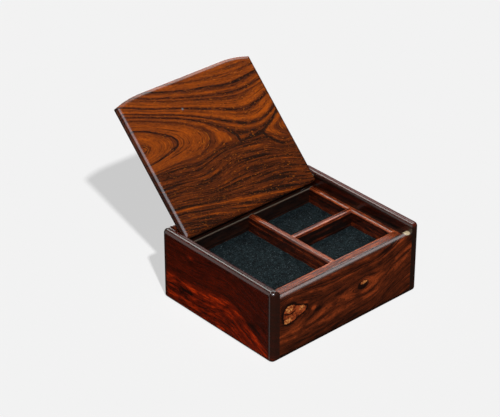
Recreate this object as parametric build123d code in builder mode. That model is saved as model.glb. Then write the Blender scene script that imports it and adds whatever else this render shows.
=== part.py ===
"""Cufflink display box: a small rosewood box with a lined tray under a lid that
turns on two hidden pins and leans back against the rounded top of the rear wall.

Millimetres, +Z up, +X to the right, front towards -Y.  The origin is the centre
of the underside.  The lid is built open, which is how the box is displayed.
"""

import os
from math import cos, radians, sin, tan

from build123d import *

os.makedirs("parts", exist_ok=True)

# Carcass: four boards and a bottom
box_width = 150.0
box_depth = 122.5
box_height = 60.0
board = 7.5              # thickness of the side, front and rear boards
bullnose_flat = 0.3      # flat left along the middle of a bullnose edge
foot_round = 2.0         # easing of the outer bottom edges
bottom_thickness = 4.0
bottom_lap = 3.5         # how far the bottom is let into the boards

# Tongues on the ends of the front and rear walls, housed in the sides
tongue_width = 3.0
tongue_depth = 3.5
tongue_stop = 8.0        # the tongues end this far below the top of their wall

# Lid
lid_thickness = 6.8
lid_side_gap = 0.3       # between the lid and each side wall
lid_rear_gap = 1.55      # between the closed lid's heel and the rear wall
lid_front_gap = 0.2      # between the closed lid and the front wall
lid_lip = 3.4            # the middle of the front edge stands out past the front wall
bow_run = 26.0           # length of the front edge that turns back, at each end
bow_radius = 79.0        # radius on which it turns
bow_angle = 15.3         # degrees of turn, after which it runs straight to the corner
open_angle = 135.0
lean_gap = 0.11          # between the open lid and the rear wall's bullnose

# Hinge pins
pin_radius = 1.25
pin_running_gap = 0.05   # radial clearance in the lid
pin_in_wall = 5.0
pin_in_lid = 8.0
pin_end_gap = 0.5        # free depth left beyond the pin in the lid

# Tray
tray_drop = 5.9          # from the closed lid down to the tray's rim
tray_height = 17.3
side_rail = 4.0
front_rail = 11.7
rear_rail = 6.8
divider = 6.0
long_divider_offset = 2.5    # the long divider stands right of the middle
rim_round = 2.3              # the rim of every compartment is rounded over
tray_floor_thickness = 2.5
tray_floor_lap = 2.0         # how far the floor is let into the rails
tenon_depth = 2.0
tenon_width = 2.0
tenon_stop = 5.0             # tenons end this far below the tray's rim
ledge = 6.0                  # the square strips that the tray stands on
ledge_end_gap = 6.0          # from the ends of a ledge to the front and rear walls

# Felt lining
felt_thickness = 1.2
felt_gap = 0.4               # between the felt and the wood round it

# Derived places: walls
half_width = box_width / 2
half_depth = box_depth / 2
side_face = half_width - board           # inner face of a side wall
end_face = half_depth - board            # inner face of the front or rear wall
board_round = (board - bullnose_flat) / 2
lid_round = (lid_thickness - bullnose_flat) / 2
lid_underside = box_height - lid_thickness   # when closed
front_height = lid_underside - lid_front_gap
tongue_inner = half_depth - (board + tongue_width) / 2
tongue_outer = tongue_inner + tongue_width

# The pivot line lies where the open lid just leans on the rear wall's bullnose
pivot_z = box_height - lid_thickness / 2
bullnose_y = end_face + board_round
bullnose_below_pivot = pivot_z - (box_height - board_round)
lean_reach = lid_thickness / 2 + board_round + lean_gap
lean_run = lean_reach + bullnose_below_pivot * cos(radians(open_angle))
pivot_y = bullnose_y - lean_run / sin(radians(open_angle))

# Derived places: tray
tray_top = lid_underside - tray_drop
tray_bottom = tray_top - tray_height
tray_floor_top = tray_bottom + tray_floor_thickness
divider_left = long_divider_offset - divider / 2
divider_right = long_divider_offset + divider / 2
compartment_side = side_face - side_rail
compartment_front = -end_face + front_rail
compartment_rear = end_face - rear_rail
cross_middle = (compartment_front + compartment_rear) / 2
cross_front = cross_middle - divider / 2
cross_rear = cross_middle + divider / 2

# Each compartment: left, right, front and rear edge in plan
compartments = {
    "left": (-compartment_side, divider_left, compartment_front, compartment_rear),
    "rear": (divider_right, compartment_side, cross_rear, compartment_rear),
    "front": (divider_right, compartment_side, compartment_front, cross_front),
}


def box_between(x_span, y_span, z_span, mode=Mode.ADD):
    """A box given by its low and high value along each axis."""
    spans = (x_span, y_span, z_span)
    centre = [(low + high) / 2 for low, high in spans]
    size = [high - low for low, high in spans]
    with Locations(tuple(centre)):
        Box(*size, mode=mode)


# ---- side walls -------------------------------------------------------------
# Each side runs the full depth and laps over the ends of the front and rear
# walls.  Its top is a full bullnose that turns down round both ends.

# The tongues of the front (-1) and rear (1) wall: their Y spans and their tops
tongue_spans = {-1: (-tongue_outer, -tongue_inner), 1: (tongue_inner, tongue_outer)}
tongue_tops = {-1: front_height - tongue_stop, 1: box_height - tongue_stop}

with BuildPart() as left_side:
    with BuildSketch(Plane.YZ.offset(-half_width)):
        Rectangle(box_depth, box_height, align=(Align.CENTER, Align.MIN))
    extrude(amount=board)
    top_edges = left_side.faces().sort_by(Axis.Z)[-1].edges()
    outer_corners = left_side.edges().filter_by(Axis.Z).group_by(Axis.X)[0]
    fillet(top_edges + outer_corners, board_round)
    foot_edges = left_side.faces().sort_by(Axis.Z)[0].edges()
    inner_foot = foot_edges.filter_by(Axis.Y).sort_by(Axis.X)[-1]
    fillet(foot_edges - [inner_foot], foot_round)
    for hand, y_span in tongue_spans.items():
        box_between(
            (-side_face - tongue_depth, -side_face),
            y_span,
            (bottom_thickness, tongue_tops[hand]),
            Mode.SUBTRACT,
        )
    box_between(
        (-side_face - bottom_lap, -side_face),
        (-end_face - bottom_lap, end_face + bottom_lap),
        (0, bottom_thickness),
        Mode.SUBTRACT,
    )
    with Locations(Plane((-side_face, pivot_y, pivot_z), z_dir=(1, 0, 0))):
        Hole(pin_radius, pin_in_wall)

left_side.part.label = "left_side"
export_step(left_side.part, "parts/left_side.step")

with BuildPart() as right_side:
    mirror(left_side.part, about=Plane.YZ)

right_side.part.label = "right_side"
export_step(right_side.part, "parts/right_side.step")


# ---- front and rear walls ---------------------------------------------------
# Boards between the sides with the same rounded top edge.  The rear wall is
# full height: the open lid leans against its bullnose.

for label, height, hand in (("front_wall", front_height, -1), ("rear_wall", box_height, 1)):
    with BuildPart() as end_wall:
        box_between(
            (-side_face, side_face),
            sorted((hand * end_face, hand * half_depth)),
            (0, height),
        )
        long_edges = end_wall.edges().filter_by(Axis.X)
        fillet(long_edges.group_by(Axis.Z)[-1], board_round)
        bottom_edges = long_edges.group_by(Axis.Z)[0]
        fillet(bottom_edges.sort_by(lambda edge: hand * edge.center().Y)[-1], foot_round)
        box_between(
            (-side_face, side_face),
            sorted((hand * end_face, hand * (end_face + bottom_lap))),
            (0, bottom_thickness),
            Mode.SUBTRACT,
        )
        for side in (-1, 1):
            box_between(
                sorted((side * side_face, side * (side_face + tongue_depth))),
                tongue_spans[hand],
                (bottom_thickness, tongue_tops[hand]),
            )
    end_wall.part.label = label
    export_step(end_wall.part, f"parts/{label}.step")


# ---- bottom -----------------------------------------------------------------
# Let into all four boards from below, flush with their feet.

with BuildPart() as bottom_panel:
    with BuildSketch():
        Rectangle(2 * (side_face + bottom_lap), 2 * (end_face + bottom_lap))
    extrude(amount=bottom_thickness)

bottom_panel.part.label = "bottom_panel"
export_step(bottom_panel.part, "parts/bottom_panel.step")


# ---- lid --------------------------------------------------------------------
# One board with a bowed front edge and a bullnose on every edge, mitred at the
# four corners.  The lid's own plane lies in the middle of the board, with its
# origin on the pivot line and its front towards -Y, and turns with the lid.

lid_plane = Plane((0, pivot_y, pivot_z)).rotated((-open_angle, 0, 0))
lid_half_width = side_face - lid_side_gap
lid_front = -(pivot_y + half_depth + lid_lip)
lid_heel = end_face - pivot_y - lid_rear_gap
bow_start = lid_half_width - bow_run
bow_centre_y = lid_front + bow_radius

with BuildPart() as lid:
    with BuildSketch(lid_plane.offset(-lid_thickness / 2)):
        with BuildLine():
            Line((-bow_start, lid_front), (bow_start, lid_front))
            right_bow = CenterArc((bow_start, bow_centre_y), bow_radius, -90, bow_angle)
            left_bow = CenterArc((-bow_start, bow_centre_y), bow_radius, -90, -bow_angle)
            right_end = right_bow @ 1
            corner_y = right_end.Y + (lid_half_width - right_end.X) * tan(radians(bow_angle))
            Polyline(
                right_end,
                (lid_half_width, corner_y),
                (lid_half_width, lid_heel),
                (-lid_half_width, lid_heel),
                (-lid_half_width, corner_y),
                left_bow @ 1,
            )
        make_face()
    extrude(amount=lid_thickness)
    fillet(lid.faces().filter_by(lid_plane).edges(), lid_round)
    for side in (-1, 1):
        with Locations(Plane((side * lid_half_width, pivot_y, pivot_z), z_dir=(side, 0, 0))):
            Hole(pin_radius + pin_running_gap, pin_in_lid + pin_end_gap)

lid.part.label = "lid"
export_step(lid.part, "parts/lid.step")


# ---- hinge pins -------------------------------------------------------------
# Brass rod, driven into blind holes in the sides and hidden by the lid.

with BuildPart() as left_hinge_pin:
    with BuildSketch(Plane.YZ.offset(-side_face - pin_in_wall)):
        with Locations((pivot_y, pivot_z)):
            Circle(pin_radius)
    extrude(amount=pin_in_wall + lid_side_gap + pin_in_lid)

left_hinge_pin.part.label = "left_hinge_pin"
export_step(left_hinge_pin.part, "parts/left_hinge_pin.step")

with BuildPart() as right_hinge_pin:
    mirror(left_hinge_pin.part, about=Plane.YZ)

right_hinge_pin.part.label = "right_hinge_pin"
export_step(right_hinge_pin.part, "parts/right_hinge_pin.step")


# ---- tray -------------------------------------------------------------------
# The tray is glued up first and its rim is rounded over afterwards, so the
# rounding runs round each compartment.  It is modelled the same way: one whole
# frame with its three compartments, from which each strip is then taken.

with BuildPart() as tray_frame:
    box_between((-side_face, side_face), (-end_face, end_face), (tray_bottom, tray_top))
    box_between(
        (-compartment_side - tray_floor_lap, compartment_side + tray_floor_lap),
        (compartment_front - tray_floor_lap, compartment_rear + tray_floor_lap),
        (tray_bottom, tray_floor_top),
        Mode.SUBTRACT,
    )
    for left, right, front, rear in compartments.values():
        box_between((left, right), (front, rear), (tray_floor_top, tray_top), Mode.SUBTRACT)
    rims = tray_frame.faces().sort_by(Axis.Z)[-1].inner_wires()
    fillet([edge for rim in rims for edge in rim.edges()], rim_round)


def tenon_span(middle):
    """The span of a tenon across a strip with this middle line."""
    return (middle - tenon_width / 2, middle + tenon_width / 2)


# Y spans of the tenons that enter the front and the rear rail
into_front = (compartment_front - tenon_depth, compartment_front)
into_rear = (compartment_rear, compartment_rear + tenon_depth)
tenon_heights = (tray_floor_top, tray_top - tenon_stop)

# Tenons: the strip that has it, the strip that houses it, its X and Y spans
tenons = [
    ("cross_divider", "long_divider", (divider_right - tenon_depth, divider_right),
     tenon_span(cross_middle)),
    ("cross_divider", "tray_right_rail", (compartment_side, compartment_side + tenon_depth),
     tenon_span(cross_middle)),
]
for strip_label, strip_middle in (
    ("long_divider", long_divider_offset),
    ("tray_left_rail", side_rail / 2 - side_face),
    ("tray_right_rail", side_face - side_rail / 2),
):
    tenons.append((strip_label, "tray_front_rail", tenon_span(strip_middle), into_front))
    tenons.append((strip_label, "tray_rear_rail", tenon_span(strip_middle), into_rear))

# The plan of each strip between its shoulders
full_width = (-side_face, side_face)
between_rails = (compartment_front, compartment_rear)
strips = {
    "tray_front_rail": (full_width, (-end_face, compartment_front)),
    "tray_rear_rail": (full_width, (compartment_rear, end_face)),
    "tray_left_rail": ((-side_face, -compartment_side), between_rails),
    "tray_right_rail": ((compartment_side, side_face), between_rails),
    "long_divider": ((divider_left, divider_right), between_rails),
    "cross_divider": ((divider_right, compartment_side), (cross_front, cross_rear)),
}

for label, (x_span, y_span) in strips.items():
    with BuildPart() as strip:
        add(tray_frame.part)
        box_between(x_span, y_span, (tray_bottom, tray_top), Mode.INTERSECT)
        for tenoned, housed, tenon_x, tenon_y in tenons:
            if label == tenoned:
                box_between(tenon_x, tenon_y, tenon_heights)
            if label == housed:
                box_between(tenon_x, tenon_y, tenon_heights, Mode.SUBTRACT)
    strip.part.label = label
    export_step(strip.part, f"parts/{label}.step")

with BuildPart() as tray_floor:
    box_between(
        (-compartment_side - tray_floor_lap, compartment_side + tray_floor_lap),
        (compartment_front - tray_floor_lap, compartment_rear + tray_floor_lap),
        (tray_bottom, tray_floor_top),
    )

tray_floor.part.label = "tray_floor"
export_step(tray_floor.part, "parts/tray_floor.step")


# ---- tray ledges ------------------------------------------------------------
# Square strips glued along the sides, under the tray.

with BuildPart() as left_ledge:
    box_between(
        (-side_face, -side_face + ledge),
        (-end_face + ledge_end_gap, end_face - ledge_end_gap),
        (tray_bottom - ledge, tray_bottom),
    )

left_ledge.part.label = "left_ledge"
export_step(left_ledge.part, "parts/left_ledge.step")

with BuildPart() as right_ledge:
    mirror(left_ledge.part, about=Plane.YZ)

right_ledge.part.label = "right_ledge"
export_step(right_ledge.part, "parts/right_ledge.step")


# ---- felt lining ------------------------------------------------------------
# A pad on the tray's floor in each compartment.

for place, (left, right, front, rear) in compartments.items():
    with BuildPart() as felt:
        box_between(
            (left + felt_gap, right - felt_gap),
            (front + felt_gap, rear - felt_gap),
            (tray_floor_top, tray_floor_top + felt_thickness),
        )
    felt.part.label = f"{place}_felt"
    export_step(felt.part, f"parts/{place}_felt.step")
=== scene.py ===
"""A polished rosewood display box for cufflinks: a case with a captive three-compartment tray, dark
felt in the compartments, and a bow-fronted lid that turns on two hidden brass pins."""

import math

import bmesh
import bpy
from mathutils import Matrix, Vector, noise


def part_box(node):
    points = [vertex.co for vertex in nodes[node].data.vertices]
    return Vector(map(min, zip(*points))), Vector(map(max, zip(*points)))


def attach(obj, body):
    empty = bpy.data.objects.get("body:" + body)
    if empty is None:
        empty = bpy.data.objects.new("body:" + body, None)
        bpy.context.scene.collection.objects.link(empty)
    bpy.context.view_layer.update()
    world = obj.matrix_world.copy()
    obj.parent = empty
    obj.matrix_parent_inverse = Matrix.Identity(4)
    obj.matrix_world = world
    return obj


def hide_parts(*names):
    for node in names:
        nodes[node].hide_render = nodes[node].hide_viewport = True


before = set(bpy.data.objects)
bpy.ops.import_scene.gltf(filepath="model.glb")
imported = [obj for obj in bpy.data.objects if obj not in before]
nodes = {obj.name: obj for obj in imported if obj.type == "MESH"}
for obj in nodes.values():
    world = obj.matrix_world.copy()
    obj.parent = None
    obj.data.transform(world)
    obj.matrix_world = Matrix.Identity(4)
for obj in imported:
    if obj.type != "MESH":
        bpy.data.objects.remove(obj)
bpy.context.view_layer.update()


# The camera stands high on the left of the front, about a metre and a half away, with a long lens.

camera = bpy.data.objects.new("camera", bpy.data.cameras.new("camera"))
camera.data.sensor_width = 36.0
camera.data.lens = 143.264
camera.rotation_mode = "QUATERNION"
camera.location = (-0.876465, -0.930087, 0.833482)
camera.rotation_quaternion = Vector((0.574354, 0.639648, -0.510851)).to_track_quat("-Z", "Y")
bpy.context.scene.collection.objects.link(camera)
bpy.context.scene.camera = camera
bpy.context.scene.view_settings.view_transform = "Standard"


# The studio: a plain pale floor, one small key light at the front left that throws the box's shadow
# back across it, and large soft lights that show as pale lines along the polished edges. The key
# light is three suns in one place: the floor's is stronger, and only the left side's gives a glint.

floor_reach = 6.0
floor_glow = 0.5885
floor_colour = (0.3, 0.3, 0.3, 1.0)
sun_energy = 1.45
floor_sun_energy = 4.35
sun_angle = math.radians(2.4)
sun_direction = Vector((0.304, 0.632, -0.712))

mesh = bmesh.new()
bmesh.ops.create_grid(mesh, x_segments=1, y_segments=1, size=floor_reach)
floor = bpy.data.objects.new("floor", bpy.data.meshes.new("floor"))
mesh.to_mesh(floor.data)
mesh.free()
bpy.context.scene.collection.objects.link(floor)
floor.visible_glossy = False
floor.visible_diffuse = False


def new_finish(name):
    """A new material, and its Principled shader."""
    material = bpy.data.materials.new(name)
    material.use_nodes = True
    return material, material.node_tree.nodes["Principled BSDF"]


pale, pale_shader = new_finish("pale_floor")
pale_shader.inputs["Base Color"].default_value = floor_colour
pale_shader.inputs["Roughness"].default_value = 1.0
pale_shader.inputs["Specular IOR Level"].default_value = 0.0
pale_shader.inputs["Emission Color"].default_value = (1.0, 1.0, 1.0, 1.0)
pale_shader.inputs["Emission Strength"].default_value = floor_glow
floor.data.materials.append(pale)

world = bpy.data.worlds.new("studio")
world.use_nodes = True
bpy.context.scene.world = world
background = world.node_tree.nodes["Background"]
background.inputs["Color"].default_value = (0.012, 0.012, 0.012, 1.0)

off_the_floor = bpy.data.collections.new("off_the_floor")
off_the_floor.objects.link(floor)
off_the_floor.collection_objects[0].light_linking.link_state = "EXCLUDE"
on_the_floor = bpy.data.collections.new("on_the_floor")
on_the_floor.objects.link(floor)
on_the_left = bpy.data.collections.new("on_the_left")
on_the_left.objects.link(nodes["left_side"])
on_the_rest = bpy.data.collections.new("on_the_rest")
for unlit in (floor, nodes["left_side"]):
    on_the_rest.objects.link(unlit)
for unlit in on_the_rest.collection_objects:
    unlit.light_linking.link_state = "EXCLUDE"

for name, energy, receivers in (
    ("key_light", sun_energy, on_the_rest),
    ("left_key_light", sun_energy, on_the_left),
    ("shadow_light", floor_sun_energy, on_the_floor),
):
    light = bpy.data.objects.new(name, bpy.data.lights.new(name, "SUN"))
    light.data.energy = energy
    light.data.angle = sun_angle
    light.visible_glossy = receivers == on_the_left
    light.rotation_mode = "QUATERNION"
    light.rotation_quaternion = sun_direction.to_track_quat("-Z", "Y")
    light.light_linking.receiver_collection = receivers
    bpy.context.scene.collection.objects.link(light)

light_distance = 2.0


def softbox(name, toward, width, height, radiance, colour):
    """A rectangular light in one direction from the box. Width and height are angles in degrees."""
    lamp = bpy.data.lights.new(name, "AREA")
    lamp.shape = "RECTANGLE"
    lamp.size = 2 * light_distance * math.tan(math.radians(width / 2))
    lamp.size_y = 2 * light_distance * math.tan(math.radians(height / 2))
    lamp.energy = radiance * math.pi * lamp.size * lamp.size_y
    lamp.color = colour
    light = bpy.data.objects.new(name, lamp)
    away = Vector(toward).normalized()
    light.location = away * light_distance
    light.rotation_mode = "QUATERNION"
    light.rotation_quaternion = (-away).to_track_quat("-Z", "Y")
    bpy.context.scene.collection.objects.link(light)
    return light


for light in (
    softbox("front_light", (-0.367, -0.611, 0.70), 62, 36, 3.0, (0.84, 0.90, 1.0)),
    softbox("right_light", (0.574, 0.20, 0.794), 46, 22, 2.7, (0.93, 0.98, 1.0)),
    softbox("far_light", (0.574, 0.70, 0.42), 36, 50, 0.45, (1.0, 1.0, 1.0)),
    softbox("back_light", (-0.05, 0.64, 0.767), 17, 20, 5.6, (0.9, 1.0, 0.97)),
    softbox("left_glow", (-0.74, 0.64, 0.18), 30, 48, 0.8, (1.0, 0.98, 0.97)),
    softbox("right_glow", (0.574, 0.81, 0.03), 22, 24, 3.2, (1.0, 0.98, 0.97)),
    softbox("corner_light", (-0.40, 0.25, 0.88), 5, 5, 75.0, (1.0, 1.0, 1.0)),
    softbox("low_light", (-0.785, 0.35, -0.511), 20, 24, 0.45, (0.95, 0.97, 1.0)),
):
    light.light_linking.receiver_collection = off_the_floor

crown_light = softbox("crown_light", (0.574, -0.27, 0.773), 30, 24, 0.7, (0.88, 1.0, 1.0))
on_the_front = bpy.data.collections.new("on_the_front")
on_the_front.objects.link(nodes["front_wall"])
crown_light.light_linking.receiver_collection = on_the_front


# The boards are rosewood, sanded smooth and polished. Each is cut from its own place in the log, so
# each has its own figure: a height across the growth rings, worked out from the place in the board.
# Lengths are in millimetres here, and a board's tone is 0 at its darkest and 1 at its lightest.

millimetres = 1000.0


class Wire:
    """A node's output. Arithmetic on it adds Math nodes, make() adds any other node beside it, and
    feed() leads it to a shader."""

    def __init__(self, socket):
        self.socket = socket

    def make(self, kind, settings=None, inputs=None, stops=None, output=0):
        node = self.socket.id_data.nodes.new("ShaderNode" + kind)
        for name, value in (settings or {}).items():
            setattr(node, name, value)
        if stops:
            while len(node.color_ramp.elements) < len(stops):
                node.color_ramp.elements.new(1.0)
            for element, (position, colour) in zip(node.color_ramp.elements, stops):
                element.position = position
                element.color = colour
        for name, value in (inputs or {}).items():
            if isinstance(value, Wire):
                self.socket.id_data.links.new(value.socket, node.inputs[name])
            else:
                node.inputs[name].default_value = value
        return Wire(node.outputs[output])

    def feed(self, shader, name):
        self.socket.id_data.links.new(self.socket, shader.inputs[name])

    def math(self, operation, *values):
        inputs = dict(enumerate(values))
        return self.make("Math", {"operation": operation}, inputs)

    def __add__(self, other):
        return self.math("ADD", self, other)

    def __radd__(self, other):
        return self.math("ADD", other, self)

    def __sub__(self, other):
        return self.math("SUBTRACT", self, other)

    def __rsub__(self, other):
        return self.math("SUBTRACT", other, self)

    def __mul__(self, other):
        return self.math("MULTIPLY", self, other)

    def __rmul__(self, other):
        return self.math("MULTIPLY", other, self)

    def __truediv__(self, other):
        return self.math("DIVIDE", self, other)

    def __rtruediv__(self, other):
        return self.math("DIVIDE", other, self)


def srgb(red, green, blue):
    """A colour in linear light, from its usual values of 0 to 255."""
    parts = [c / 255 for c in (red, green, blue)]
    return (*[c / 12.92 if c <= 0.04045 else ((c + 0.055) / 1.055) ** 2.4 for c in parts], 1.0)


def place_on_piece(shader):
    """The place in the object's own coordinates, in metres."""
    return Wire(shader.outputs["BSDF"]).make("TexCoord", output="Object")


def axes_of(place):
    """A place's x, y and z, in millimetres."""
    parts = place.make("SeparateXYZ", inputs={"Vector": place}).socket.node.outputs
    return [Wire(parts[axis]) * millimetres for axis in "XYZ"]


def noise_in(place, detail=2.0, rough=0.5):
    """Noise from 0 to 1: along a line if place is one wire, in space if it is three."""
    quality = {"Scale": 1.0, "Detail": detail, "Roughness": rough}
    if isinstance(place, Wire):
        return place.make("TexNoise", {"noise_dimensions": "1D"}, {"W": place, **quality})
    spot = place[0].make("CombineXYZ", inputs=dict(zip("XYZ", place)))
    return spot.make("TexNoise", inputs={"Vector": spot, **quality})


def fade(wire, start, end):
    """0 at start and 1 at end, smooth between them, and flat beyond."""
    limits = {"Value": wire, "From Min": start, "From Max": end}
    return wire.make("MapRange", {"interpolation_type": "SMOOTHSTEP"}, limits)


def mix(share, first, second):
    """first where share is 0, and second where it is 1."""
    factor, first_colour, second_colour, result = 0, 6, 7, 2
    inputs = {factor: share, first_colour: first, second_colour: second}
    return share.make("Mix", {"data_type": "RGBA"}, inputs, output=result)


def hump(x, y, at, wide, tall):
    """A smooth bump of height 1, centred at a place on a board's face."""
    across, up = (x - at[0]) / wide, (y - at[1]) / tall
    return across.math("EXPONENT", (across * across + up * up) * -1.0)


def rings(h, low, high, base, bands):
    """A tone of base, but for each band's change of it around the band's own height."""
    stops = [(0.0, (base, base, base, 1.0))]
    for level, width, change in sorted(bands):
        for height, tone in ((-width, base), (0.0, base + change), (width, base)):
            stops.append(((level + height - low) / (high - low), (tone, tone, tone, 1.0)))
    share = (h - low) / (high - low)
    return share.make("ValToRGB", inputs={"Fac": share}, stops=stops)


def broken_rings(x, h, low, high, base, bands):
    """Rings whose bands come and go along the board."""
    share = fade(noise_in((x * 0.055, h * 0.12, 0.0), 3.0, 0.6), 0.36, 0.62)
    return (rings(h, low, high, base, bands) - base) * share * 1.3 + base


def chance_rings(h, scale, spread, seed):
    """Rings whose bands come by chance, spread around a tone of 0."""
    return (noise_in(h * scale + seed * 31.0, 3.0, 0.6) - 0.5) * spread


def rosewood(
    name, figure, grain, seed, shades, tone, patches=None, contrast=1.0, sway=2.0, flame=0.0
):
    """Polished rosewood. figure gives the height across the rings at a place and tone the tone
    there, or is one number for a board whose rings come by chance. patches marks the colour."""
    material, shader = new_finish(name)
    x, y, z = axes_of(place_on_piece(shader))
    along, across = (x, y) if grain == "x" else (y, x)
    dark, middle, light = (srgb(*shade) for shade in shades)

    waver = noise_in((along * 0.03, across * 0.14, z * 0.14 + seed), 4.0, 0.55) - 0.5
    h = figure(x, y, z) + waver * sway
    stripes = noise_in(h * 0.5 + seed * 57.0, 4.0, 0.7)
    fibres = noise_in((along * 0.12, h * 1.1, (across + z) * 0.3), 3.0, 0.65)
    cloud = noise_in((along * 0.03, across * 0.06, z * 0.06 + 3.0 * seed), 2.0)
    if callable(tone):
        base = tone(x, y, z, h)
    else:
        base = chance_rings(h, 0.16, 1.5, seed) + tone
    mottle = (stripes - 0.5) * 0.9 + (fibres - 0.5) * 0.8 + (cloud - 0.5) * 0.4
    shade = base + mottle * contrast
    if flame:
        tongues = noise_in((along * 0.07, h * 0.28, across * 0.1 + 5.0 * seed), 4.0, 0.6)
        shade = shade + (tongues - 0.5) * flame
    stops = [(0.0, dark), (0.5, middle), (1.0, light)]
    colour = shade.make("ValToRGB", inputs={"Fac": shade}, stops=stops)
    thread = noise_in(h * 0.35 + seed * 83.0) - 0.5
    thread = fade(thread.math("ABSOLUTE", thread), 0.03, 0.008)
    broken = fade(noise_in((along * 0.05, h * 0.3, across * 0.1)), 0.4, 0.6)
    colour = mix(thread * broken * 0.75, colour, dark)
    pores = fade(noise_in((along * 0.4, h * 3.0, (across - z) * 1.2), 1.0), 0.58, 0.68)
    colour = mix(pores * 0.7, colour, srgb(22, 11, 8))
    if patches:
        colour = patches(x, y, z, h, colour)
    colour.feed(shader, "Base Color")
    dullness = fibres * 0.12 + pores * 0.05 + 0.14
    dullness.feed(shader, "Roughness")
    height = fibres * 0.3 - pores * 0.5
    bump = height.make("Bump", inputs={"Height": height, "Strength": 0.06, "Distance": 0.0002})
    bump.feed(shader, "Normal")
    shader.inputs["IOR"].default_value = 1.65
    return material


def finish_node(name, material):
    """Give a CAD piece its own material in place of the plain one it comes with."""
    nodes[name].data.materials[0] = material


# The bottom, the tray's floor and the two ledges that carry it are plainer straight-grained boards
# inside the case. The bottom is let into the walls, and the ledges are glued to the sides.

plain_shades = ((38, 14, 8), (92, 42, 20), (130, 66, 32))


def straight_figure(grain, turn_over, rise):
    """Straight rings that run with the grain, at a slant through the board."""

    def figure(x, y, z):
        return (y if grain == "x" else x) * turn_over + z * rise

    return figure


for name, grain, seed in (
    ("bottom_panel", "x", 0.7),
    ("tray_floor", "y", 1.7),
    ("left_ledge", "y", 2.7),
    ("right_ledge", "y", 3.7),
):
    figure = straight_figure(grain, 0.8, 1.0)
    finish_node(name, rosewood(name + "_wood", figure, grain, seed, plain_shades, 0.45))


# The side walls stand on edge, their grain running from front to back. Their ends are darker, where
# the end grain drinks the finish, and so are their tops; their feet are painted darker as painted
# shade next to the floor. The left one's outer face has a low red arch near the front, and the
# right one's top is a little redder. The right one's inner face is painted darker than its outer
# face, as painted shade inside the case.

left_shades = ((34, 8, 0), (128, 30, 3), (232, 64, 8))
# The right side's shades are dark, as painted shade for its inner face; its outer face is lifted in
# its tone.
right_shades_shaded_inside = ((18, 7, 3), (80, 23, 6), (170, 48, 9))
right_seed = 5.3
dark_top_and_foot_shade = srgb(26, 14, 10)


def dark_ends_and_foot_shade(x, y, z, h, colour):
    ends = fade(y, -55.5, -58.0) + fade(y, 55.5, 58.0)
    # Darker along the top, and painted shade along the foot next to the floor.
    colour = mix(fade(z, 55.5, 58.0) * 0.5 + fade(z, 3.2, 1.4) * 0.4, colour, dark_top_and_foot_shade)
    return mix(ends * 0.8, colour, srgb(42, 27, 20))


def left_side_figure(x, y, z):
    middle = (y + 10.0) / 11.3137
    peak = middle.math("EXPONENT", middle * middle * -1.0)
    arch = fade(y, -73.0, -11.0) * 26.0 + peak * 2.0
    return z - arch + fade(y, 2.0, 30.0) * 3.8 + x * 0.4 + 30.0


def left_side_tone(x, y, z, h):
    bands = [
        (-24.0, 4.0, 0.35),
        (-15.0, 4.0, 0.3),
        (-8.0, 3.0, 0.3),
        (-0.5, 5.5, 0.4),
        (14.0, 6.0, 0.1),
    ]
    shadow = hump(y, z, (36.0, 15.5), 17.0, 4.0) * 0.4 + hump(y, z, (-43.0, 24.0), 8.0, 8.0) * 0.12
    patch = hump(y, z, (29.0, 48.5), 3.0, 1.4) * 0.5
    low = fade(h, 7.0, -1.0)
    tongues = noise_in((y * 0.09, (h + z) * 0.22, x * 0.1 + 15.5), 4.0, 0.65) - 0.5
    patch = patch + low * 0.2 + tongues * (low * 1.5 + 0.6)
    return broken_rings(y, h, -30.0, 70.0, 0.16, bands) - shadow + patch


def right_side_figure(x, y, z):
    return z + y * 0.05 + x * 0.6


def right_tone_shaded_inside(x, y, z, h):
    # The inner face is painted darker than the outer, as painted shade inside the case.
    return chance_rings(h, 0.16, 1.5, right_seed) + fade(x, 70.0, 73.5) * 0.4 + 0.05


def red_crown(x, y, z, h, colour):
    colour = dark_ends_and_foot_shade(x, y, z, h, colour)
    return mix(fade(z, 56.5, 58.5) * fade(x, 68.0, 69.5) * 0.2, colour, srgb(150, 46, 24))


left_wood = rosewood(
    "left_side_wood", left_side_figure, "y", 3.1, left_shades, left_side_tone, dark_ends_and_foot_shade, 0.3, 6.0
)
right_wood = rosewood(
    "right_side_wood", right_side_figure, "y", right_seed, right_shades_shaded_inside, right_tone_shaded_inside, red_crown
)
finish_node("left_side", left_wood)
finish_node("right_side", right_wood)


# The front and rear walls are held between the sides. The front has a large knot on its left and a
# small one right of the middle, and the grain flows round both and rises to the right.

wall_shades = ((36, 15, 8), (98, 40, 17), (166, 70, 30))
knot_dark = srgb(26, 12, 8)
knot_tan = srgb(250, 168, 92)


def front_figure(x, y, z):
    big_x, big_z = x + 54.5, z + x * 0.15 - 27.2
    small_x, small_z = x - 17.0, z - 29.0
    big = 200.0 / (big_x * big_x * 0.3 + big_z * big_z + 125.0)
    small = 60.0 / (small_x * small_x * 0.3 + small_z * small_z + 38.0)
    return z - big_z * big - small_z * small - fade(x, 22.0, 75.0) * 14.0 + y * 0.3 + 18.0


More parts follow.
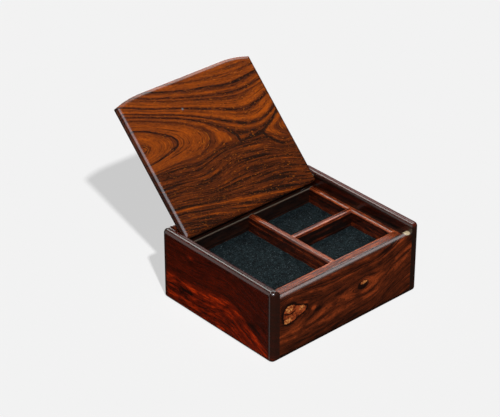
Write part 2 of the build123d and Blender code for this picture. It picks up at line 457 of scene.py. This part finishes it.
def front_tone(x, y, z, h):
    bands = [
        (9.0, 4.0, -0.15),
        (20.5, 2.6, 0.45),
        (26.5, 2.4, 0.5),
        (38.0, 3.0, 0.3),
        (45.0, 2.4, 0.25),
        (50.5, 2.0, -0.15),
    ]
    shadow = hump(x, z, (42.0, 47.5), 9.0, 7.0) * 0.4 + hump(x, z, (34.0, 40.5), 4.0, 3.0) * 0.3
    shadow = shadow + fade(z, 17.0, 7.0) * 0.14 + fade(z, 46.0, 50.0) * 0.08
    shadow = shadow + hump(x, z, (-30.0, 28.4), 2.6, 1.4) * 0.7
    # Painted shade on the top at the right end, beside the right side, which stands above the front
    # wall.
    shadow = shadow + fade(x, 58.0, 66.0) * fade(z, 45.0, 49.0) * 0.45
    glow = hump(x, z, (-34.0, 30.8), 2.8, 2.0) * 0.9 + hump(x, z, (-41.7, 39.2), 3.0, 1.6) * 0.6
    glow = glow + hump(x, z, (-54.0, 21.5), 9.0, 5.0) * 0.3
    glow = glow + fade(x, 10.0, 40.0) * 0.08
    return broken_rings(x, h, -10.0, 60.0, 0.38, bands) - shadow + glow


def knots_foot_shade_and_highlight(x, y, z, h, colour):
    """The two knots, the dark top, a painted shade along the foot, and a painted highlight at the
    top's right end.
    """
    ragged = (noise_in((x * 0.45, y * 0.45, z * 0.45), 4.0, 0.65) - 0.5) * 0.5
    big = hump(x, z, (-57.6, 35.7), 8.4, 9.6) + hump(x, z, (-46.8, 34.8), 8.0, 4.4) * 0.85
    big = big + ragged * 0.6
    small = hump(x, z, (16.8, 29.0), 6.4, 4.4) + ragged * 0.6
    rim = fade(big, 0.3, 0.42) + fade(small, 0.4, 0.55)
    colour = mix(rim.math("MINIMUM", rim, 1.0) * 0.92, colour, knot_dark)
    heart = mix(fade(ragged, -0.06, 0.06), srgb(92, 34, 14), srgb(186, 84, 40))
    colour = mix(fade(big, 0.54, 0.62), colour, heart)
    low = hump(x, z, (-59.4, 30.6), 4.6, 3.0) + hump(x, z, (-52.4, 33.0), 3.4, 2.0) * 0.35
    low = low + hump(x, z, (-45.6, 36.2), 3.2, 2.6)
    high = hump(x, z, (-58.4, 40.3), 4.6, 3.7)
    speck = hump(x, z, (17.4, 30.8), 4.6, 1.7)
    mask = fade(low + ragged, 0.46, 0.62) + fade(high + ragged, 0.46, 0.62)
    mask = mask + fade(speck + ragged * 0.6, 0.5, 0.62)
    fleck = noise_in((x * 0.8 + z * 0.3, y * 0.8, z * 0.5), 4.0, 0.7)
    tan = mix(fade(fleck, 0.42, 0.62), srgb(150, 56, 22), knot_tan)
    colour = mix(mask.math("MINIMUM", mask, 1.0), colour, tan)
    colour = mix(fade(z, 50.5, 52.5) * 0.4, colour, dark_top_and_foot_shade)
    # Painted shade along the foot, next to the floor.
    colour = mix(fade(z, 4.0, 2.0) * 0.85, colour, srgb(14, 5, 3))
    # A painted highlight: a pale spot at the right end of the top.
    painted_highlight_spot = hump(x, z, (64.8, 52.9), 3.2, 1.2) + ragged
    colour = mix(fade(painted_highlight_spot, 0.4, 0.7) * 0.8, colour, srgb(206, 186, 150))
    sag = x + 57.0
    split = z - sag * sag * 0.06 - 35.6 + ragged * 3.0
    split = fade(split.math("ABSOLUTE", split), 1.0, 0.4) * fade(big, 0.5, 0.7)
    return mix(split * fade(x, -50.0, -53.0) * 0.9, colour, knot_dark)


def rear_figure(x, y, z):
    return z + x * 0.04 + y * 0.5


front_wood = rosewood(
    "front_wall_wood", front_figure, "x", 2.2, wall_shades, front_tone, knots_foot_shade_and_highlight, 0.8, 4.5, 1.1
)
finish_node("front_wall", front_wood)
finish_node("rear_wall", rosewood("rear_wall_wood", rear_figure, "x", 8.4, wall_shades, 0.4))


# The tray is a frame of four rails with two dividers tenoned between them, all rounded over along
# the top. It drops in onto the ledges before the lid goes on. Its tops are painted lighter than its
# faces inside the compartments, as painted light and shade. The rear rail, under the lid's heel, is
# painted darker still, as painted shade, with a painted highlight along its rim.

tray_shades = ((22, 9, 5), (92, 34, 14), (186, 88, 42))
# The rear rail's darker shades are painted shade from the lid's heel above it.
lid_shade_shades = ((12, 7, 5), (40, 19, 11), (84, 42, 24))


def tray_wood(name, grain, seed, top, inside, shades):
    """Wood painted lighter along the rounded top and deeper down inside the compartments, as
    painted light and shade, and lighter again low down, as painted fill light.
    """

    def tone(x, y, z, h):
        # Painted light and shade: the top's tone is lighter than the tone inside, and the faces are
        # painted lighter low down, as fill light.
        rim = fade(z, 44.4, 46.0) * (top - inside)
        return chance_rings(h, 0.3, 1.2, seed) + inside + rim + fade(z, 40.0, 37.0) * 0.25

    def painted_rim_highlight(x, y, z, h, colour):
        # A painted highlight: a pale line along the rear rail's rim under the lid's heel.
        edge = fade(y, 47.9, 47.3) * fade(z, 45.6, 46.4)
        return mix(edge * 0.33, colour, srgb(150, 138, 118))

    figure = straight_figure(grain, 1.0, 0.5)
    patches = painted_rim_highlight if name == "tray_rear_rail" else None
    return rosewood(name + "_wood", figure, grain, seed, shades, tone, patches, 1.3, 2.0, 0.9)


# top is the tone painted on the lit tops; inside is the darker one painted as shade inside the
# compartments.
for name, grain, seed, top, inside, shades in (
    ("tray_front_rail", "x", 11.3, 0.6, 0.2, tray_shades),
    ("tray_rear_rail", "x", 12.3, 0.35, 0.15, lid_shade_shades),
    ("tray_left_rail", "y", 13.3, 0.4, 0.05, tray_shades),
    ("tray_right_rail", "y", 14.3, 0.62, 0.12, tray_shades),
    ("long_divider", "y", 15.3, 0.66, 0.12, tray_shades),
    ("cross_divider", "x", 16.3, 0.6, -0.1, tray_shades),
):
    finish_node(name, tray_wood(name, grain, seed, top, inside, shades))


# Pieces of blue-black wool felt, cut by hand a little small and laid loose in the compartments, one
# to each. Their cut edges curl up a little and aren't quite straight.

felt_shades = (srgb(1, 3, 4), srgb(23, 34, 36))
lint_grey = srgb(84, 96, 98)
mesh_step = 0.001
curled_edge = 0.005
curl = 0.0006
ragged_edge = 0.0004
ripples = 90.0

felt_material, felt_shader = new_finish("black_wool_felt")
x, y, z = axes_of(place_on_piece(felt_shader))
nap = noise_in((x * 0.9, y * 0.9, z * 0.9), 4.0, 0.75)
clumps = noise_in((x * 0.25, y * 0.25, z * 0.25), 2.0)
felt_tone = (nap - 0.5) * 3.0 + (clumps - 0.5) * 1.0 + 0.5
felt_colour = mix(fade(felt_tone, 0.1, 0.9), *felt_shades)
lint = fade(noise_in((x * 0.9, y * 0.9, z * 0.9 + 7.0), 3.0, 0.7), 0.57, 0.7)
felt_colour = mix(lint * 0.7, felt_colour, lint_grey)
felt_colour.feed(felt_shader, "Base Color")
felt_shader.inputs["Roughness"].default_value = 0.95
felt_shader.inputs["Specular IOR Level"].default_value = 0.08
felt_shader.inputs["Sheen Weight"].default_value = 0.03
felt_shader.inputs["Sheen Roughness"].default_value = 0.5
felt_bump = nap.make("Bump", inputs={"Height": nap, "Strength": 0.6, "Distance": 0.0004})
felt_bump.feed(felt_shader, "Normal")


def felt_piece(name, node):
    low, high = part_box(node)
    across, along = high.x - low.x, high.y - low.y
    centre = ((low.x + high.x) / 2, (low.y + high.y) / 2, low.z)
    mesh = bmesh.new()
    steps = (int(across / mesh_step), int(along / mesh_step))
    bmesh.ops.create_grid(mesh, x_segments=steps[0], y_segments=steps[1], size=0.5)
    bmesh.ops.scale(mesh, vec=(across, along, 1.0), verts=mesh.verts)
    bmesh.ops.translate(mesh, vec=centre, verts=mesh.verts)
    for vertex in mesh.verts:
        place = vertex.co
        inside = min(place.x - low.x, high.x - place.x, place.y - low.y, high.y - place.y)
        edge = max(0.0, 1.0 - inside / curled_edge)
        spot = place * ripples
        place.z += curl * edge * (1.0 + noise.noise(spot))
        pull = ragged_edge * edge * noise.noise(spot * 3.0 + Vector((3.0, 1.0, 0.0)))
        place.x += pull if place.x < centre[0] else -pull
    piece = bpy.data.objects.new(name, bpy.data.meshes.new(name))
    mesh.to_mesh(piece.data)
    mesh.free()
    bpy.context.scene.collection.objects.link(piece)
    thick = piece.modifiers.new("thickness", "SOLIDIFY")
    thick.thickness = high.z - low.z
    thick.offset = 1.0
    piece.data.materials.append(felt_material)
    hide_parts(node)
    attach(piece, "case")


felt_piece("left_felt_sheet", "left_felt")
felt_piece("rear_felt_sheet", "rear_felt")
felt_piece("front_felt_sheet", "front_felt")


# The lid is one wide plain-sawn board that turns on pins in its heel. Its figure is strong. Long
# lines sweep down from the left, turn back round a tongue at the left edge and spread round another
# at the right. Below them, towards the hinge, the wood is darker, with one bright streak.

lid_shades = ((28, 14, 8), (98, 42, 12), (184, 84, 12))
lid_pivot = (47.4949, 56.6)
lid_swells = [
    ((5.6, 74.2), 24.4, 25.6, 26.0),
    ((37.2, 70.4), 33.6, 26.0, 20.0),
    ((80.5, 41.0), 25.8, 17.2, -11.1),
    ((131.4, 34.5), 11.4, 8.3, 6.5),
    ((124.5, 47.8), 34.1, 36.6, -19.6),
    ((53.7, 22.9), 21.4, 12.7, 3.9),
    ((132.3, 73.7), 18.4, 12.2, 2.8),
    ((14.1, 50.4), 50.2, 11.9, -22.3),
]
upper_rings = [
    (-60.0, 1.2, -0.35),
    (-52.4, 2.2, -0.6),
    (-46.6, 1.6, -0.6),
    (-43.4, 1.0, -0.45),
    (-34.8, 1.6, -0.68),
    (-26.7, 1.4, -0.7),
    (-22.4, 1.8, -0.68),
    (-17.0, 2.4, -0.4),
    (-1.4, 2.0, -0.68),
    (14.0, 5.0, -0.2),
]
lower_rings = [
    (-77.0, 3.0, -0.25),
    (-72.5, 3.0, 0.2),
    (-67.3, 1.8, -0.15),
    (-63.4, 2.2, 0.4),
    (-60.4, 1.4, -0.25),
    (-42.0, 2.5, 0.1),
    (-38.0, 1.5, -0.15),
    (-30.0, 3.0, 0.06),
    (-26.0, 1.0, -0.1),
]


def on_lid(x, y, z):
    """A place measured from the box's left, from the pivot up the inner face, and into the wood."""
    back, up = y - lid_pivot[0], z - lid_pivot[1]
    half = math.sqrt(0.5)
    return x + 75.0, (back + up) * half, (up - back) * half - 3.4


def lid_figure(x, y, z):
    across, up, depth = on_lid(x, y, z)
    a, b = (across - 75.0) / 70.0, (up - 55.0) / 55.0
    ridge = up + across * 0.045 - 52.676
    crest = ridge.math("SQRT", ridge * ridge + 18.289)
    bend = a * (8.554 + a * (4.198 + a * -3.107) + b * (-11.031 + a * 5.839 + b * -4.13))
    h = crest * -1.439 + bend + b * (15.228 + b * (13.541 + b * -5.34)) + depth * 0.8
    for at, wide, tall, height in lid_swells:
        h = h + hump(across, up, at, wide, tall) * height
    return h


def lid_marks(x, y, z, h, colour):
    """The lid's end grain, the darkest lines where the two tongues meet, and golden flecks."""
    across, up, depth = on_lid(x, y, z)
    shake = (noise_in((across * 0.25, up * 0.25, depth * 0.25), 3.0, 0.6) - 0.5) * 1.8
    turn = up - 45.6
    fork = across - turn.math("SQRT", turn * turn + 4.0) - 116.0 + shake
    fork = fade(fork.math("ABSOLUTE", fork), 2.0, 0.5) * fade(up, 29.0, 33.0) * fade(up, 52.0, 49.0)
    climb = across.math("MAXIMUM", across - 110.0, 0.0)
    floor_line = up - climb * climb * 0.0138 - 47.3 + shake
    floor_line = fade(floor_line.math("ABSOLUTE", floor_line), 2.0, 0.5) * fade(across, 93.0, 95.5)
    drop = up.math("MAXIMUM", up - 52.0, 0.0)
    side_line = across + drop * 0.75 - 94.6 + shake
    side_line = fade(side_line.math("ABSOLUTE", side_line), 1.9, 0.5)
    side_line = side_line * fade(up, 45.5, 48.0) * fade(up, 63.0, 58.0)
    dark_line = fork.math("MAXIMUM", fork.math("MAXIMUM", fork, floor_line), side_line)
    colour = mix(dark_line * 0.85, colour, srgb(28, 16, 10))
    spot = hump(across, up, (60.5, 87.8), 0.7, 0.7)
    colour = mix(spot, colour, srgb(96, 128, 132))
    fleck = fade(noise_in((x * 0.5, h * 1.6, (y - z) * 1.2 + 4.0), 2.0), 0.62, 0.72)
    colour = mix(fleck * 0.4, colour, srgb(214, 116, 28))
    ends = fade(x, -64.6, -66.6) + fade(x, 64.6, 66.6)
    return mix(ends * 0.7, colour, srgb(40, 18, 14))


def lid_tone(x, y, z, h):
    across, up, depth = on_lid(x, y, z)
    lower = fade(up + across * 0.21, 71.0, 66.0) * fade(h, -18.0, -21.0)
    above = rings(h, -80.0, 20.0, 0.66, upper_rings)
    worn = noise_in((across * 0.12, h * 0.5, depth * 0.1), 3.0, 0.7)
    above = (above - 0.66) * (fade(worn, 0.3, 0.6) * 0.6 + 0.5) + 0.66
    streaks = noise_in((across * 0.025, h * 0.5 + 5.0, depth * 0.1), 3.0, 0.7) - 0.5
    below = rings(h, -80.0, 20.0, 0.28, lower_rings) + streaks * 1.9
    dull = hump(across, up, (121.0, 105.0), 12.0, 1.8)
    bright = hump(across, up, (119.0, 101.2), 8.0, 1.4)
    return above + (below - above) * lower - (dull - bright) * 0.25


lid_wood = rosewood(
    "lid_wood", lid_figure, "x", 17.9, lid_shades, lid_tone, lid_marks, 0.65, 1.6, 0.4
)
finish_node("lid", lid_wood)


# Two plain brass pins, glued into the sides, that the lid turns on.

brass, brass_shader = new_finish("brass")
brass_shader.inputs["Metallic"].default_value = 1.0
brass_place = place_on_piece(brass_shader)
scratches = brass_place.make(
    "TexNoise", inputs={"Vector": brass_place, "Scale": 2500.0, "Detail": 2.0}
)
brass_colour = mix(scratches, srgb(96, 72, 40), srgb(132, 102, 60))
brass_colour.feed(brass_shader, "Base Color")
brass_dullness = scratches * 0.2 + 0.2
brass_dullness.feed(brass_shader, "Roughness")
for name in ("left_hinge_pin", "right_hinge_pin"):
    finish_node(name, brass)
